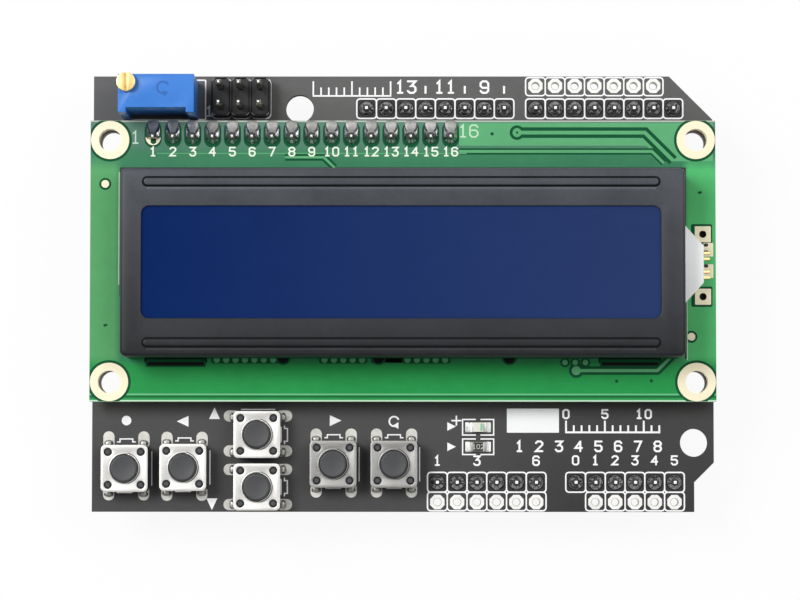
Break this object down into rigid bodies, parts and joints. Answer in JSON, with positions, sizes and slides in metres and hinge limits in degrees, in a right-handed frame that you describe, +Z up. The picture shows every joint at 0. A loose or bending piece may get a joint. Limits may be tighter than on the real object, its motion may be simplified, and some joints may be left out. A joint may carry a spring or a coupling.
{
  "type": "lcd keypad shield",
  "caption": "Plug-on character display board with a row of push buttons, a trimmer, a programming header and pin rows.",
  "frame": {"origin": "centre of the outline in plan, on the plane that the plug pins' tips stand on", "axes": "+Z up, out of the display's face; +X along the display's length, to the viewer's right; +Y towards the digital pins, so the push buttons are on the -Y side"},
  "size_m": [0.08, 0.0562, 0.0215],
  "materials": {
    "black_board": "satin solder mask",
    "green_board": "satin solder mask",
    "black_plastic": "matt moulded",
    "blue_plastic": "smooth moulded",
    "button_plastic": "satin moulded",
    "black_steel": "satin black coat",
    "switch_steel": "brushed",
    "brass": "turned",
    "pin_metal": "plated",
    "tinned": "tinned",
    "screen_glass": "polished",
    "screen_film": "glossy film",
    "white_plastic": "diffusing",
    "zebra_rubber": "matt",
    "lamp_plastic": "smooth",
    "chip_lamp": "clear lens",
    "chip_body": "glazed",
    "epoxy": "cast epoxy"
  },
  "bodies": {
    "root": {"shield_board": "black_board", "power_lamp": "chip_lamp", "lamp_resistor": "chip_body", "ladder_resistors": "chip_body", "backlight_transistor": "black_plastic", "trimmer_body": "blue_plastic", "trimmer_leads": "tinned", "digital_high_strip": "black_plastic", "digital_low_strip": "black_plastic", "power_strip": "black_plastic", "analog_strip": "black_plastic", "shield_pins": "pin_metal", "icsp_strip": "black_plastic", "icsp_pins": "pin_metal", "display_strip": "black_plastic", "display_pins": "pin_metal", "solder_joints": "tinned", "display_board": "green_board", "display_bezel": "black_steel", "front_polariser": "screen_film", "upper_glass": "screen_glass", "lower_glass": "screen_glass", "rear_polariser": "screen_film", "diffuser_film": "white_plastic", "zebra_strips": "zebra_rubber", "light_guide": "white_plastic", "backlight_lamp": "lamp_plastic", "controller_blobs": "epoxy", "display_resistors": "chip_body", "switch_legs": "tinned", "select_base": "black_plastic", "select_cover": "switch_steel", "select_dome": "switch_steel", "left_base": "black_plastic", "left_cover": "switch_steel", "left_dome": "switch_steel", "up_base": "black_plastic", "up_cover": "switch_steel", "up_dome": "switch_steel", "down_base": "black_plastic", "down_cover": "switch_steel", "down_dome": "switch_steel", "right_base": "black_plastic", "right_cover": "switch_steel", "right_dome": "switch_steel", "reset_base": "black_plastic", "reset_cover": "switch_steel", "reset_dome": "switch_steel"},
    "select_key": {"select_button": "button_plastic"},
    "left_key": {"left_button": "button_plastic"},
    "up_key": {"up_button": "button_plastic"},
    "down_key": {"down_button": "button_plastic"},
    "right_key": {"right_button": "button_plastic"},
    "reset_key": {"reset_button": "button_plastic"},
    "trimmer_shaft": {"trimmer_screw": "brass"}
  },
  "joints": [
    {"name": "select_press", "type": "slide", "parent": "root", "child": "select_key", "axis": [0, 0, -1], "range_m": [0, 0.00025], "stiffness_N_per_m": 3000, "springref_m": -0.00025, "deforming": ["select_dome"]},
    {"name": "left_press", "type": "slide", "parent": "root", "child": "left_key", "axis": [0, 0, -1], "range_m": [0, 0.00025], "stiffness_N_per_m": 3000, "springref_m": -0.00025, "deforming": ["left_dome"]},
    {"name": "up_press", "type": "slide", "parent": "root", "child": "up_key", "axis": [0, 0, -1], "range_m": [0, 0.00025], "stiffness_N_per_m": 3000, "springref_m": -0.00025, "deforming": ["up_dome"]},
    {"name": "down_press", "type": "slide", "parent": "root", "child": "down_key", "axis": [0, 0, -1], "range_m": [0, 0.00025], "stiffness_N_per_m": 3000, "springref_m": -0.00025, "deforming": ["down_dome"]},
    {"name": "right_press", "type": "slide", "parent": "root", "child": "right_key", "axis": [0, 0, -1], "range_m": [0, 0.00025], "stiffness_N_per_m": 3000, "springref_m": -0.00025, "deforming": ["right_dome"]},
    {"name": "reset_press", "type": "slide", "parent": "root", "child": "reset_key", "axis": [0, 0, -1], "range_m": [0, 0.00025], "stiffness_N_per_m": 3000, "springref_m": -0.00025, "deforming": ["reset_dome"]},
    {"name": "trimmer_turn", "type": "hinge", "parent": "root", "child": "trimmer_shaft", "pos_m": [-0.03498, 0.02619, 0.02014], "axis": [0, 0, 1], "continuous": true}
  ]
}
